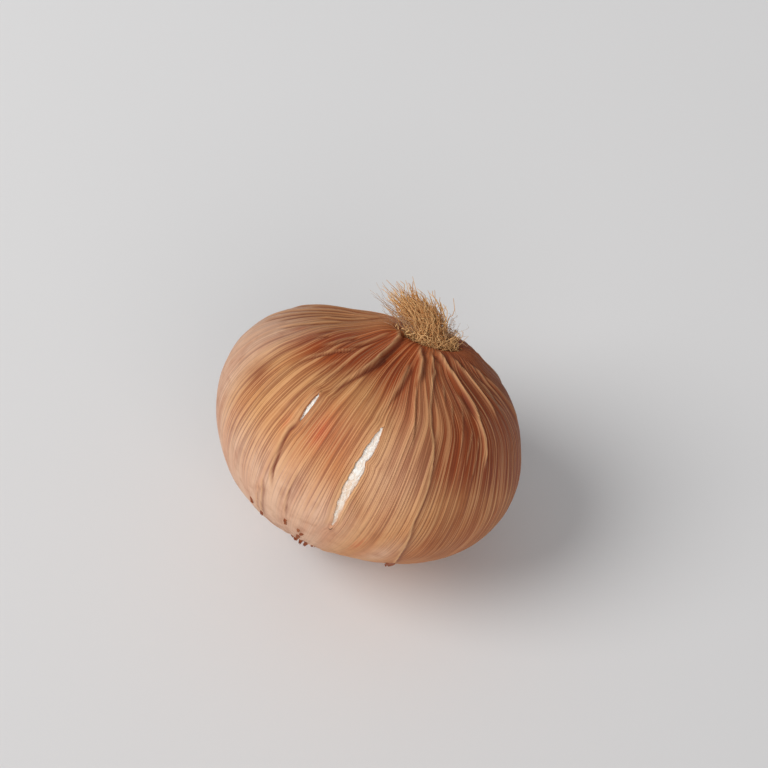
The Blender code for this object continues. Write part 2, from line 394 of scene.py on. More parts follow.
@dataclass(frozen=True)
class BulbForm:
    """The lopsided bulb, as the CAD has it, and how it lies."""

    girth_radius: float = 0.0400
    root_end_height: float = 0.0284
    root_end_taper: float = 0.90
    neck_end_height: float = 0.0317
    neck_end_taper: float = 1.05
    crown_slope: float = 0.20
    crown_slope_to: float = math.radians(78)
    crown_shift: float = 0.0023
    crown_shift_to: float = math.radians(39)
    shoulder_rise: float = 0.0017
    shoulder_radius: float = 0.0107
    shoulder_width: float = 0.0045
    root_plate_radius: float = 0.0060
    neck_slope: float = 0.135
    neck_slope_to: float = math.radians(30)
    girth_tilt: float = 0.0009
    girth_tilt_to: float = math.radians(20)
    neck_stub_core: float = 0.0020
    neck_stub_radius: float = 0.0050
    neck_stub_rise: float = 0.0018
    lean: float = math.radians(37.6)
    lean_to: float = math.radians(38.5)
    centre: tuple[float, float, float] = (-0.0027, -0.0042, 0.0352)
    flat_radius: float = 0.0108
    flat_fade: float = 0.024

    def turning(self) -> np.ndarray:
        """The rotation that leans the bulb, as a 3 by 3 array."""
        x, y = -math.sin(self.lean_to), math.cos(self.lean_to)
        cross = np.array([[0, 0, y], [0, 0, -x], [-y, x, 0]])
        return np.eye(3) + math.sin(self.lean) * cross + (1 - math.cos(self.lean)) * cross @ cross

    @staticmethod
    def heading(lon: np.ndarray) -> np.ndarray:
        """Unit vectors across the axis towards longitudes in radians."""
        return np.stack([np.sin(lon), -np.cos(lon), np.zeros_like(lon)], -1)

    @staticmethod
    def swell(lon: np.ndarray, along: np.ndarray) -> np.ndarray:
        """How much wider than round the bulb is.

        Args:
            lon: longitudes in radians.
            along: 1 at the root pole and -1 at the neck pole.
        Returns:
            The width there as a multiple of a round bulb's.
        """
        root_half = 0.011 * np.cos(lon - math.radians(90)) + 0.039 * np.cos(2 * (lon - math.radians(35)))
        neck_half = 0.039 * np.cos(lon - math.radians(134)) + 0.036 * np.cos(2 * (lon - math.radians(150)))
        return 1 + (root_half * (1 + along) + neck_half * (1 - along)) / 2

    def surface(self, lon: np.ndarray, lat: np.ndarray, inset: float = 0.0) -> np.ndarray:
        """Points of the bulb's surface in its own frame.

        Args:
            lon: longitudes in radians.
            lat: latitudes in radians.
            inset: how much less its girth and height are.
        Returns:
            One point for each pair of angles.
        """
        outward, along = np.clip(np.cos(lat), 0, None), np.sin(lat)
        girth, wide = self.girth_radius - inset, self.swell(lon, along)
        high = girth * outward**self.root_end_taper * wide
        low = girth * outward**self.neck_end_taper * wide
        rise = (self.root_end_height - inset) * along
        rise = rise + self.crown_slope * np.cos(lon - self.crown_slope_to) * high * along**3
        ring = (np.maximum(high, self.root_plate_radius) - self.shoulder_radius) / self.shoulder_width
        rise = rise + self.shoulder_rise * np.exp(-(ring**2))
        drop = (self.neck_end_height - inset) * along
        drop = drop - self.neck_slope * np.cos(lon - self.neck_slope_to) * low * along**3
        stub = self.neck_stub_rise * (1 - smoothstep(self.neck_stub_core, self.neck_stub_radius, low))
        upper = along > 0
        points = np.where(upper, high, low)[..., None] * self.heading(lon)
        shift = self.crown_shift * np.clip(along, 0, None) ** 6
        points = points + shift[..., None] * self.heading(np.full_like(lon, self.crown_shift_to))
        points[..., 2] = np.where(upper, rise, drop - stub * (inset == 0.0))
        points[..., 2] += self.girth_tilt * np.cos(lon - self.girth_tilt_to) * outward**2
        return points

    def lying(self, points: np.ndarray) -> np.ndarray:
        """Points taken from the bulb's frame to the world's."""
        return points @ self.turning().T + np.array(self.centre)

    def normals(self, lon: np.ndarray, lat: np.ndarray) -> np.ndarray:
        """Outward unit vectors in the world at angles in radians.

        Args:
            lon: longitudes.
            lat: latitudes.
        Returns:
            One unit vector for each.
        """
        lat, step = np.clip(lat, -1.55, 1.55), 1e-3
        across = self.surface(lon + step, lat) - self.surface(lon - step, lat)
        up = self.surface(lon, lat + step) - self.surface(lon, lat - step)
        normal = np.cross(across, up)
        normal /= np.linalg.norm(normal, axis=-1, keepdims=True)
        return normal @ self.turning().T

    def place(self, lon: np.ndarray, lat: np.ndarray, inset: float, lift: np.ndarray) -> np.ndarray:
        """Points over the lying bulb, pressed flat where it rests.

        Args:
            lon: longitudes in radians.
            lat: latitudes in radians.
            inset: how far inside the skin the surface is; also the height of its flat.
            lift: how far each point stands off it.
        Returns:
            The points in the world.
        """
        points = self.lying(self.surface(lon, lat, inset))
        points = points + self.normals(lon, lat) * lift[..., None]
        low = points[..., 2] < self.centre[2]
        reach = np.hypot(points[..., 0], points[..., 1])
        pressed = (1 - smoothstep(self.flat_radius, self.flat_fade, reach)) * low
        height = points[..., 2] + (inset - points[..., 2]) * pressed
        points[..., 2] = np.where(low, np.maximum(height, inset), height)
        return points

    def plate(self) -> tuple[np.ndarray, np.ndarray]:
        """The middle of the root plate, under the skin, and its upward unit vector."""
        middle = self.lying(self.surface(np.zeros(1), np.full(1, math.pi / 2), MM))[0]
        slope = self.heading(np.array(self.crown_slope_to))
        upward = self.turning() @ (np.array([0, 0, 1]) - self.crown_slope * slope)
        return middle, upward / np.linalg.norm(upward)


@dataclass(frozen=True)
class Grain:
    """How the skin's fibres run: they swirl into the crown and spread below the girth."""

    crown_swirl: float = 23.0
    still_at: float = -25.0
    spread: float = 14.0
    spread_from: float = -20.0

    def drift(self, lon: np.ndarray, lat: np.ndarray) -> np.ndarray:
        """How far a fibre has moved round, in degrees, from where it would be if it ran straight.

        Args:
            lon: longitudes in degrees.
            lat: latitudes in degrees.
        Returns:
            The drift there.
        """
        swirl = self.crown_swirl * (1 - 0.7 * hump(turn_between(lon, self.still_at), 34.0))
        crown = -swirl * smoothstep(36.0, 82.0, lat)
        below = self.spread * np.sin(np.radians(lon - self.spread_from)) * smoothstep(30.0, -62.0, lat)
        return crown + below

    def follow(self, fibre: np.ndarray, lat: np.ndarray) -> np.ndarray:
        """Where fibres, named by longitude at the girth, pass each latitude.

        Args:
            fibre: the fibres' names in degrees.
            lat: latitudes in degrees.
        Returns:
            Longitudes in degrees.
        """
        lon = fibre
        for _ in range(6):
            lon = fibre + self.drift(lon, lat)
        return lon


# ------------------------------------------------------- folds, splits and skin


class FoldKind(Enum):
    """The ways that dry skin is creased."""

    RIDGE = "ridge"
    CREASE = "crease_shade_and_tone"
    OVERLAP = "overlap"


@dataclass(frozen=True)
class Fold:
    """One fold of the skin along a path of (longitude, latitude)."""

    kind: FoldKind
    path: Path
    width: float
    height: float
    # how strong the fold's painted shade beside it and its painted highlight on its crest are
    painted_shade: float
    light: float

    def line(self, form: BulbForm) -> np.ndarray:
        """The fold's path as points on the lying bulb."""
        angles = np.radians(np.array(self.path))
        return form.lying(form.surface(angles[:, 0], angles[:, 1]))

    def beside(self, form: BulbForm, points: np.ndarray) -> np.ndarray:
        """True for each point on the skin that is near enough to be changed by the fold."""
        line, reach = self.line(form), 9 * self.width
        return ((points > line.min(0) - reach) & (points < line.max(0) + reach)).all(1)

    def measure(
        self, form: BulbForm, points: np.ndarray, normals: np.ndarray
    ) -> tuple[np.ndarray, np.ndarray]:
        """How far points are from the fold and how strong it is beside them.

        Args:
            form: the bulb.
            points: points on the skin.
            normals: the skin's unit vectors there.
        Returns:
            Signed distances, positive on the right looking up the bulb, and strengths from 0 to 1.
        """
        line = self.line(form)
        spans = np.linalg.norm(np.diff(line, axis=0), axis=1)
        starts = np.concatenate([[0], np.cumsum(spans)])
        nearest = np.full(len(points), np.inf)
        side, run = np.zeros(len(points)), np.zeros(len(points))
        for first, second, span, start in zip(line[:-1], line[1:], spans, starts):
            ahead = (second - first) / span
            offset = points - first
            share = np.clip(offset @ ahead, 0, span)
            away = offset - share[:, None] * ahead
            distance = np.linalg.norm(away, axis=1)
            closer = distance < nearest
            nearest = np.where(closer, distance, nearest)
            side = np.where(closer, np.sign((np.cross(normals, ahead) * away).sum(1)), side)
            run = np.where(closer, start + share, run)
        ends = smoothstep(0, 3 * MM, run) * smoothstep(0, 5 * MM, starts[-1] - run)
        return nearest * side, ends

    def shape(self, distance: np.ndarray) -> tuple[np.ndarray, np.ndarray, np.ndarray]:
        """The fold's own profile.

        Args:
            distance: signed distances from it.
        Returns:
            Its lift, its darkness and its lightness at each distance.
        """
        wide = self.width
        if self.kind is FoldKind.RIDGE:
            sharp = np.where(distance > 0, 0.55 * wide, wide)
            lift = np.exp(-np.abs(distance / sharp) ** 1.5) - 0.35 * hump(distance - 1.5 * wide, 0.9 * wide)
            return lift, hump(distance - 1.2 * wide, 0.9 * wide), hump(distance + 0.1 * wide, 0.6 * wide)
        if self.kind is FoldKind.CREASE:
            lift = 0.5 * hump(distance + 1.5 * wide, wide) - hump(distance, wide)
            return lift, hump(distance, 0.8 * wide), hump(distance + 1.5 * wide, 0.8 * wide)
        lift = smoothstep(0.3 * wide, -0.3 * wide, distance) * hump(np.minimum(distance, 0), 5 * wide)
        shadow = smoothstep(-0.1 * wide, 0.3 * wide, distance) * hump(np.maximum(distance, 0), 1.6 * wide)
        return lift, shadow, hump(distance + 0.45 * wide, 0.4 * wide)


@dataclass(frozen=True)
class Split:
    """A tear along the fibres: rows of (latitude, longitude, millimetres open to the left and right)."""

    rows: tuple[tuple[float, float, float, float], ...]
    ragged: float = 0.12 * MM

    def edge(self, lat: np.ndarray, side: int, ragged: bool = True) -> np.ndarray:
        """The longitude of one lip.

        Args:
            lat: latitudes in degrees.
            side: -1 for the left lip and 1 for the right.
            ragged: whether its small teeth are counted.
        Returns:
            Longitudes in degrees.
        """
        table = np.array(self.rows[::-1])
        middle = np.interp(lat, table[:, 0], table[:, 1])
        width = np.interp(lat, table[:, 0], table[:, 2 if side < 0 else 3]) * MM
        rough = np.sin(lat * 0.9 + side) + 0.8 * np.sin(lat * 1.9 + 2 * side) + 0.6 * np.sin(lat * 4.3)
        if ragged:
            width = width + self.ragged * rough * (width > 0) * (1.0 if side < 0 else 0.4)
        around = 40 * MM * np.cos(np.radians(lat)) ** 0.9
        return middle + side * np.degrees(np.maximum(width, 0) / around)

    def middle(self, lat: np.ndarray) -> np.ndarray:
        """The longitude midway between its lips."""
        return (self.edge(lat, -1) + self.edge(lat, 1)) / 2

    def beside(self, lat: np.ndarray, reach: float, low_full: float, high_full: float) -> np.ndarray:
        """From 0, further than reach past its ends, to 1 from low_full below it to high_full above it."""
        below = smoothstep(self.low - reach, self.low - low_full, lat)
        return below * smoothstep(self.high + reach, self.high + high_full, lat)

    @property
    def low(self) -> float:
        """The latitude of its lower end."""
        return self.rows[-1][0]

    @property
    def high(self) -> float:
        """The latitude of its upper end."""
        return self.rows[0][0]


def fold(
    kind: FoldKind, wide: float, high: float, painted_shade: float, light: float, *path: tuple[float, float]
) -> Fold:
    """A fold whose width and height are given in millimetres, and its path as (longitude, latitude) pairs."""
    return Fold(kind, path, wide * MM, high * MM, painted_shade, light)


SPLITS = (
    Split(
        (
            (30.0, -11.9, 0.0, 0.0), (27.0, -11.9, 0.4, 0.4), (22.0, -11.9, 0.8, 0.9),
            (17.0, -12.0, 1.0, 1.1), (13.5, -12.0, 1.2, 1.0), (11.0, -11.8, 1.2, 0.2),
            (9.5, -11.9, 1.3, 0.9), (6.0, -12.0, 1.3, 1.3), (-2.0, -12.1, 1.2, 1.3),
            (-8.0, -11.9, 0.9, 1.0), (-16.0, -11.0, 0.6, 0.7), (-22.0, -10.0, 0.35, 0.4),
            (-27.0, -9.8, 0.0, 0.0),
        )
    ),
    Split(
        (
            (27.5, -39.2, 0.0, 0.0), (25.0, -39.0, 0.3, 0.35), (21.0, -38.8, 0.5, 0.5),
            (17.0, -38.5, 0.5, 0.4), (13.0, -38.3, 0.3, 0.25), (9.0, -38.3, 0.0, 0.0),
        ),
        ragged=0.05 * MM,
    ),
)

RIDGE, CREASE, OVERLAP = FoldKind.RIDGE, FoldKind.CREASE, FoldKind.OVERLAP
FOLDS = (
    # the bold ridge that winds in from behind the roots
    fold(
        RIDGE, 0.75, 1.1, 0.95, 0.95,
        (-110, 82.0), (-87, 81.6), (-70, 80), (-61, 78), (-53, 76.5), (-47.5, 75.3), (-42, 71.6),
        (-39, 67.4), (-36.7, 62.3), (-34.4, 57.7), (-34, 54), (-34, 48.6), (-36, 43),
    ),
    fold(
        CREASE, 0.6, 0.5, 0.95, 0.35,
        (-36.7, 66), (-31.6, 60.6), (-31.3, 55.5), (-32.4, 51), (-33.3, 45), (-34.4, 39.5), (-35, 35),
        (-34.4, 27),
    ),
    # folds to its left
    fold(CREASE, 0.4, 0.4, 0.95, 0.6, (-51, 60), (-52, 54), (-54, 50), (-55, 44), (-56.6, 37), (-57.7, 31)),
    fold(CREASE, 0.6, 0.45, 0.9, 0.5, (-60, 76), (-56, 68), (-54, 60), (-53, 54)),
    fold(CREASE, 0.5, 0.35, 0.8, 0.5, (-66, 66), (-63.4, 59), (-61, 53), (-60.6, 43.5)),
    fold(CREASE, 0.5, 0.3, 0.75, 0.45, (-80, 60), (-76, 53), (-73.6, 46)),
    fold(CREASE, 0.5, 0.3, 0.75, 0.45, (-71, 57), (-70, 53), (-69.5, 44)),
    fold(
        CREASE, 0.52, 0.35, 0.8, 0.5,
        (-97, 64), (-93, 59), (-90, 54), (-88, 46), (-87, 39.5), (-88.4, 31),
    ),
    fold(CREASE, 0.3, 0.25, 0.8, 0.4, (-44, 50), (-42, 43), (-42, 36), (-41, 27)),
    fold(CREASE, 0.3, 0.2, 0.8, 0.4, (-38, 50), (-38, 44), (-38.5, 38)),
    fold(CREASE, 0.3, 0.25, 0.8, 0.4, (-47, 50), (-46.8, 45), (-46.8, 36), (-46.5, 27)),
    fold(RIDGE, 0.7, 0.4, 0.7, 0.5, (-125, 76), (-112, 70), (-104, 62), (-100, 50)),
    # right of the middle
    fold(RIDGE, 0.8, 0.8, 0.7, 0.7, (-20, 78), (-14.3, 72.5), (-9.4, 69.7), (-6.7, 62), (-6.3, 54)),
    fold(CREASE, 0.7, 0.4, 0.8, 0.5, (-14, 67), (-12.2, 61), (-12.2, 50), (-13.3, 39)),
    fold(RIDGE, 0.5, 0.3, 0.3, 0.5, (-14, 50), (-14, 46), (-14.3, 40), (-14.7, 32)),
    fold(RIDGE, 0.32, 0.28, 0.5, 0.7, (-6.5, 56), (-5.3, 52), (-2, 40), (1, 28)),
    fold(RIDGE, 0.32, 0.28, 0.5, 0.7, (-5.5, 51), (-3.9, 46), (-1, 36), (1.7, 24)),
    # the long edge where one sheet of skin lies over the next
    fold(
        OVERLAP, 0.7, 0.35, 0.7, 0.85,
        (-4, 76), (1, 71), (3, 67.6), (4.4, 66.3), (2.7, 61.4), (3.4, 53.8), (4.4, 46), (6.2, 39),
        (8.6, 33), (10, 27.4), (11.4, 18.3), (12.4, 11.4), (13.1, 1.7), (13.8, -4), (14.9, -8), (17, -14),
        (19, -20), (21, -26), (24, -32), (28, -37), (31, -42),
    ),
    # bold ridges on the right
    fold(
        RIDGE, 0.9, 0.9, 0.75, 0.8,
        (2, 78), (8.6, 74.6), (13.5, 71), (19, 67), (22.5, 61.4), (26.7, 56.5), (29.4, 52.4), (30.8, 46),
        (33.6, 40), (34.3, 33), (35, 26),
    ),
    fold(RIDGE, 0.9, 0.8, 0.75, 0.6, (20, 76), (29.4, 71), (33, 67.6), (37, 62), (42, 54), (47, 46)),
    fold(CREASE, 0.8, 0.5, 0.8, 0.4, (45, 68), (49.6, 64), (52.4, 57), (57, 50)),
    fold(CREASE, 0.7, 0.5, 0.8, 0.2, (-6, 76), (-2.5, 74.6), (10, 70.8), (14, 67)),
    fold(CREASE, 1.0, 0.4, 0.75, 0.3, (20, 60), (24, 55), (27, 50), (28, 45)),
    fold(RIDGE, 0.32, 0.28, 0.5, 0.75, (9, 62), (10, 58), (11, 48)),
    fold(RIDGE, 0.32, 0.28, 0.5, 0.75, (14, 54), (15, 50), (16, 40)),
    fold(RIDGE, 0.32, 0.28, 0.5, 0.75, (20, 54), (21, 50), (21, 38), (21, 25)),
    fold(RIDGE, 0.32, 0.28, 0.5, 0.75, (27, 44), (26, 40), (25, 32), (24.6, 25)),
    fold(RIDGE, 0.32, 0.28, 0.5, 0.75, (30.5, 42), (30, 38), (29, 28), (28.4, 16)),
    fold(RIDGE, 0.9, 0.7, 0.7, 0.4, (40, 74), (52, 68), (62, 60), (70, 50), (74, 40)),
    # the narrow gap below the small split, and the curved lines below it
    fold(
        CREASE, 0.45, 0.5, 1.0, 0.6,
        (-38.4, 12), (-39.5, 5), (-39.5, 0), (-38.7, -10), (-38.5, -15), (-36.5, -26),
    ),
    fold(CREASE, 0.35, 0.2, 0.7, 0.3, (-29.5, -7), (-29.3, -20), (-28.5, -30), (-27.5, -39)),
    fold(OVERLAP, 0.5, 0.3, 0.6, 0.6, (-42, -22), (-41, -30), (-42, -38), (-43, -44), (-46, -54)),
    fold(OVERLAP, 0.4, 0.2, 0.4, 0.5, (-44, -26), (-43.4, -31), (-44.5, -38), (-46, -44), (-50, -56)),
)


@dataclass
class DrySkin:
    """The papery skin, in folds and pleats, torn open along its splits and gathered round the roots."""

    form: BulbForm
    grain: Grain
    finish: PaperySkin
    meridians: int = 640
    parallels: int = 140
    collar_latitude: float = 81.0
    lip_reach: float = 9.0
    lip_depth: float = 0.22 * MM
    lip_tuck: float = 0.15
    collar_tuck: float = 2.5
    collar_drop: float = 0.8 * MM
    deepest: float = -0.5 * MM
    split_rim: float = 0.12 * MM
    seed: int = 11

    def column(self, split: Split) -> int:
        """The number of the mesh line nearest to a split's middle."""
        lat = np.array([(split.low + split.high) / 2])
        middle = split.middle(lat)
        fibre = middle - self.grain.drift(middle, lat)
        return round(float(fibre[0]) / 360 * self.meridians)

    def topology(self) -> bpy.types.Mesh:
        """The sphere that the skin is pulled from, with its tears cut and their lips turned in.

        Returns:
            A mesh whose attributes name each vertex's fibre, latitude, lip and turn.
        """
        mesh = fine_sphere(self.meridians // 4, self.parallels // 4)
        names = {name: mesh.verts.layers.float.new(name) for name in ("fibre_lon", "latitude", "lip", "turn")}
        for vert in mesh.verts:
            vert[names["fibre_lon"]] = math.degrees(math.atan2(vert.co.x, -vert.co.y))
            vert[names["latitude"]] = math.degrees(math.atan2(vert.co.z, math.hypot(vert.co.x, vert.co.y)))
        rise = names["latitude"]
        cap = [face for face in mesh.faces if max(vert[rise] for vert in face.verts) > self.collar_latitude]
        bmesh.ops.delete(mesh, geom=cap, context="FACES")
        for number, split in enumerate(SPLITS, 1):
            self._cut(mesh, names, split, number)
        rim = [edge for edge in mesh.edges if edge.is_boundary]
        turned = bmesh.ops.extrude_edge_only(mesh, edges=rim)["geom"]
        for part in turned:
            if isinstance(part, bmesh.types.BMVert):
                part[names["turn"]] = 1.0
        bmesh.ops.recalc_face_normals(mesh, faces=mesh.faces[:])
        return made_mesh(mesh, "papery_skin")

    def _cut(self, mesh: bmesh.types.BMesh, names: dict[str, Any], split: Split, number: int) -> None:
        """Cut the mesh along one split and name its two lips.

        Args:
            mesh: the sphere.
            names: its vertex layers.
            split: the split.
            number: its number, written on its right lip, and negated on its left.
        """
        line = self.column(split) * 360 / self.meridians
        fibre, latitude, lip = names["fibre_lon"], names["latitude"], names["lip"]
        on_line = {
            vert
            for vert in mesh.verts
            if abs(vert[fibre] - line) < 0.1 and split.low < vert[latitude] < split.high
        }
        cut = [edge for edge in mesh.edges if on_line.issuperset(edge.verts)]
        parted = bmesh.ops.split_edges(mesh, edges=cut)["edges"]
        for vert in {vert for edge in parted for vert in edge.verts}:
            if len(vert.link_faces) < 4:
                middle = sum(face.calc_center_median().x for face in vert.link_faces) / len(vert.link_faces)
                vert[lip] = number if middle > vert.co.x else -number

    def angles(self, read: dict[str, np.ndarray]) -> tuple[np.ndarray, np.ndarray]:
        """Where each vertex lies on the bulb, with the mesh drawn aside to meet each lip.

        Args:
            read: the mesh's own attributes.
        Returns:
            Longitudes and latitudes in degrees.
        """
        fibre, lat, lip = read["fibre_lon"], read["latitude"], read["lip"]
        lon = self.grain.follow(fibre, lat)
        for number, split in enumerate(SPLITS, 1):
            line = self.column(split) * 360 / self.meridians
            at_line = self.grain.follow(np.full_like(lat, line), lat)
            open_here = (lat > split.low - 6) & (lat < split.high + 6)
            ends = smoothstep(split.low - 6, split.low, lat) * smoothstep(split.high + 6, split.high, lat)
            for side in (-1, 1):
                mine = (lip == side * number) | ((np.sign(turn_between(fibre, line)) == side) & (lip == 0))
                mine |= (np.abs(fibre - line) < 0.1) & (lip == 0) & (side == 1)
                near = np.clip(1 - np.abs(lon - at_line) / self.lip_reach, 0, 1)
                near = near * (np.abs(turn_between(fibre, line)) < 40)
                within = np.clip(lat, split.low, split.high)
                calm, torn = split.edge(within, side, False), split.edge(within, side)
                shift = (calm - at_line) * near**1.5 + (torn - calm) * near**14
                lon = np.where(mine, lon + shift * ends * open_here, lon)
        return lon, lat

    def pleats(self, fibre: np.ndarray, lat: np.ndarray) -> np.ndarray:
        """The small pleats that gather towards the roots, and fade down the bulb.

        Args:
            fibre: the fibres' names in degrees.
            lat: latitudes in degrees.
        Returns:
            How far the skin is lifted by them.
        """
        rng = np.random.default_rng(self.seed)
        turn = np.radians(fibre)
        lift = np.zeros_like(lat)
        for count, size in ((17, 0.35), (31, 0.6), (47, 0.7)):
            sway = rng.uniform(0.3, 0.9) * np.sin(np.radians(lat) * rng.uniform(2, 4) + rng.uniform(0, 6))
            wave = np.sin(turn * count + rng.uniform(0, 6) + sway)
            swell = 0.6 + 0.4 * np.sin(turn * rng.integers(2, 7) + rng.uniform(0, 6))
            lift += size * (1 - 2 * np.abs(wave)) * swell
        crown = 0.095 * smoothstep(5, 62, lat) * smoothstep(90, 80, lat)
        neck = 0.35 * smoothstep(-52, -72, lat)
        return lift * MM * (crown + neck + 0.035 * smoothstep(-40, 0, lat))

    def dents(self, lon: np.ndarray, lat: np.ndarray) -> np.ndarray:
        """Broad, shallow unevenness.

        Args:
            lon: longitudes in degrees.
            lat: latitudes in degrees.
        Returns:
            How far the skin is lifted by it.
        """
        rng = np.random.default_rng(self.seed + 1)
        turn, rise = np.radians(lon), np.radians(lat)
        lift = np.zeros_like(lat)
        for count in (5, 7, 9, 12, 16, 21):
            round_it = np.sin(turn * count + rng.uniform(0, 6))
            lift += round_it * np.sin(rise * count * 0.6 + rng.uniform(0, 6)) / count
        return lift * 0.9 * MM * np.cos(rise)

    def far_folds(self) -> tuple[Fold, ...]:
        """Folds like the front's, strewn over the rest of the crown."""
        rng = np.random.default_rng(self.seed + 2)
        made = []
        for start in np.arange(82.0, 244.0, 8.0):
            lon = start + rng.uniform(-3, 3)
            top, low = rng.uniform(70, 80), rng.uniform(10, 50)
            lats = np.linspace(top, low, 8)
            fibre = lon - self.grain.drift(np.array([lon]), np.array([top]))[0]
            lons = self.grain.follow(np.full(len(lats), fibre), lats)
            path = tuple(zip(lons.tolist(), lats.tolist()))
            kind = RIDGE if rng.random() < 0.5 else CREASE
            made.append(Fold(kind, path, rng.uniform(0.35, 0.7) * MM, rng.uniform(0.2, 0.45) * MM, 0.8, 0.5))
        return tuple(made)

    def sculpt(
        self, lon: np.ndarray, lat: np.ndarray, fibre: np.ndarray
    ) -> tuple[np.ndarray, dict[str, np.ndarray]]:
        """Work out how far every vertex is lifted, and the masks that the finish reads, painted shade and
        painted highlight among them.

        Args:
            lon: longitudes in degrees.
            lat: latitudes in degrees.
            fibre: the fibres' names in degrees.
        Returns:
            How far each vertex is lifted, and the masks.
        """
        turn, rise = np.radians(lon), np.radians(lat)
        points = self.form.lying(self.form.surface(turn, rise))
        normals = self.form.normals(turn, rise)
        pleats = self.pleats(fibre, lat)
        lift = pleats + self.dents(lon, lat)
        # painted shade in the pleats' grooves and painted highlight on their crests
        painted_shade, light = np.clip(-pleats / (0.25 * MM), 0, 0.55), np.clip(pleats / (0.3 * MM), 0, 0.35)
        # each fold adds its painted shade and its painted highlight, the highlight dimmed where the shade falls
        for fold in FOLDS + self.far_folds():
            near = fold.beside(self.form, points)
            distance, strength = fold.measure(self.form, points[near], normals[near])
            raised, shaded, lit = fold.shape(distance)
            lift[near] += fold.height * raised * strength
            painted_shade[near] = np.maximum(painted_shade[near], fold.painted_shade * shaded * strength)
            light[near] = np.maximum(light[near] * (1 - 0.7 * shaded * strength), fold.light * lit * strength)
        lift = np.maximum(lift, self.deepest)
        for split in SPLITS:
            within = split.beside(lat, 4, 1, 1)
            across = smoothstep(7, 4, np.abs(turn_between(lon, 0) - split.middle(lat)))
            lift = np.maximum(lift, self.deepest * (1 - within * across))
        for split in SPLITS:
            inside = split.beside(lat, 2, -5, -4)
            away = np.abs(turn_between(lon, 0) - split.middle(lat)) * np.cos(rise) * 0.7 * MM
            lift += self.split_rim * inside * hump(away, 2.5 * MM)
            light = np.maximum(light, 0.4 * inside * hump(away - 1.4 * MM, 0.5 * MM))
        return lift, self.paint(lon, lat) | {"crease_shade_and_tone": painted_shade, "crest_highlight_and_tone": light}

    @staticmethod
    def paint(lon: np.ndarray, lat: np.ndarray) -> dict[str, np.ndarray]:
        """Where the skin is rust, pale, brown or flushed, and how ribbed it is.

        Args:
            lon: longitudes in degrees.
            lat: latitudes in degrees.
        Returns:
            A mask from 0 to 1 for each.
        """
        away = turn_between(lon, 0)
        crown = smoothstep(24, 46, lat - 14 * hump(away + 30, 16))
        rust = crown * smoothstep(-92, -66, away) * smoothstep(8, -14, away)
        bare = 1 - 0.9 * patch(lon, lat, (-112, 60), (36, 34))
        rust = np.maximum(rust, 0.7 * smoothstep(34, 62, lat) * bare)
        rust = np.maximum(rust, 0.5 * patch(lon, lat, (-28, 14), (14, 16)))
        left = smoothstep(-175, -150, away)
        pale = smoothstep(-62, -84, away) * left * smoothstep(62, 30, lat)
        pale = np.maximum(pale, smoothstep(6, -22, lat) * smoothstep(10, -18, away) * left)
        pale = np.maximum(pale, 0.5 * patch(lon, lat, (0, 10), (12, 34)))
        pale = np.maximum(pale, 0.8 * patch(lon, lat, (15, -32), (6, 15)))
        right = smoothstep(6, 18, away) + 0.5 * smoothstep(-8, 4, away) * smoothstep(18, 6, away)
        brown = right * smoothstep(150, 110, away) * smoothstep(-2, 26, lat)
        side = smoothstep(12, 30, away) * smoothstep(160, 120, away)
        brown = np.maximum(brown, 0.6 * side * smoothstep(-60, -20, lat))
        brown = np.maximum(brown, 0.6 * patch(lon, lat, (-66, 14), (7, 8)))
        blush = 0.75 * patch(lon, lat, (-29.5, 12), (5.0, 8))
        blush = np.maximum(blush, 0.6 * patch(lon, lat, (-42, 7), (2.6, 5.0)))
        blush = np.maximum(blush, 0.6 * patch(lon, lat, (3.5, -31), (3, 7)))
        blush = np.maximum(blush, 0.6 * patch(lon, lat, (-83, 45), (2.5, 4)))
        ribbed = smoothstep(-38, -8, lat) * smoothstep(86, 60, lat) * 0.8 + 0.2
        ribbed = ribbed * (1 - 0.5 * smoothstep(-64, -88, away) * smoothstep(60, 36, lat))
        return {"rust": rust, "pale": pale * 0.9, "brown": brown, "blush": blush, "ribbed": ribbed}

    def build(self) -> bpy.types.Object:
        """Make the skin.

        Returns:
            The finished piece.
        """
        data = self.topology()
        read = {}
        for name in ("fibre_lon", "latitude", "lip", "turn"):
            values = np.zeros(len(data.vertices), np.float32)
            data.attributes[name].data.foreach_get("value", values)
            read[name] = values.astype(float)
        lon, lat = self.angles(read)
        lift, masks = self.sculpt(lon, lat, read["fibre_lon"])
        turned = read["turn"] > 0.5
        at_collar = turned & (lat > self.collar_latitude - 20)
        lift = np.where(turned, lift - self.lip_depth, lift)
        lon = np.where(turned & ~at_collar, lon + np.sign(read["lip"]) * self.lip_tuck, lon)
        lat = np.where(at_collar, lat + self.collar_tuck, lat)
        lift = np.where(at_collar, lift - self.collar_drop, lift)
        place_points(data, self.form.place(np.radians(lon), np.radians(lat), 0.0, lift))
        for name in read:
            data.attributes.remove(data.attributes[name])
        turn = np.radians(read["fibre_lon"])
        write_fibre(data, np.stack([np.cos(turn), np.sin(turn), np.radians(lat)], -1))
        write_masks(data, masks)
        data.shade_smooth()
        data.update()
        return add_piece("papery_skin", data, self.finish.dress(), ("dry_skin",))


